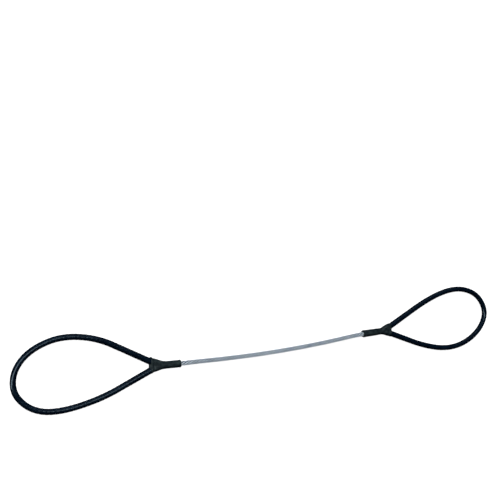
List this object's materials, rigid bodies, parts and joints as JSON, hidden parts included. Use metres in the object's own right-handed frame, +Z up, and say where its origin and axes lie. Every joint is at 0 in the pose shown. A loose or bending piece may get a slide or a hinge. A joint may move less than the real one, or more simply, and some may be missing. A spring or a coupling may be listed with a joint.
{
  "type": "wire rope sling",
  "caption": "Steel wire rope sling with a soft eye at each end. Black tube covers the eyes and a moulded Y-shaped boot closes each neck. The free rope flexes.",
  "frame": {"origin": "middle of the sling's length and width, on the surface that it lies on", "axes": "+X along the sling towards the right eye, +Y across it in the plane of the eyes, +Z up off the surface"},
  "size_m": [0.6513, 0.0866, 0.0092],
  "materials": {
    "rope_steel": "bright drawn wire, lightly greyed",
    "pressed_steel": "zinc plated, pressed",
    "shrink_tube": "satin black heat-shrink tube",
    "boot_rubber": "satin black moulded rubber"
  },
  "bodies": {
    "left_end": {"wire_rope": "rope_steel", "left_eye_rope": "rope_steel", "left_strand_ends": "rope_steel", "left_pressed_sleeve": "pressed_steel", "left_eye_sleeve": "shrink_tube", "left_neck_boot": "boot_rubber"},
    "right_end": {"right_eye_rope": "rope_steel", "right_strand_ends": "rope_steel", "right_pressed_sleeve": "pressed_steel", "right_eye_sleeve": "shrink_tube", "right_neck_boot": "boot_rubber"}
  },
  "joints": [
    {"name": "rope_flex", "type": "hinge", "parent": "left_end", "child": "right_end", "pos_m": [-0.005, -0.0102, 0.0026], "axis": [0, 0, 1], "range_deg": [-60, 60], "stiffness_Nm_per_rad": 0.2, "deforming": ["wire_rope"]}
  ]
}
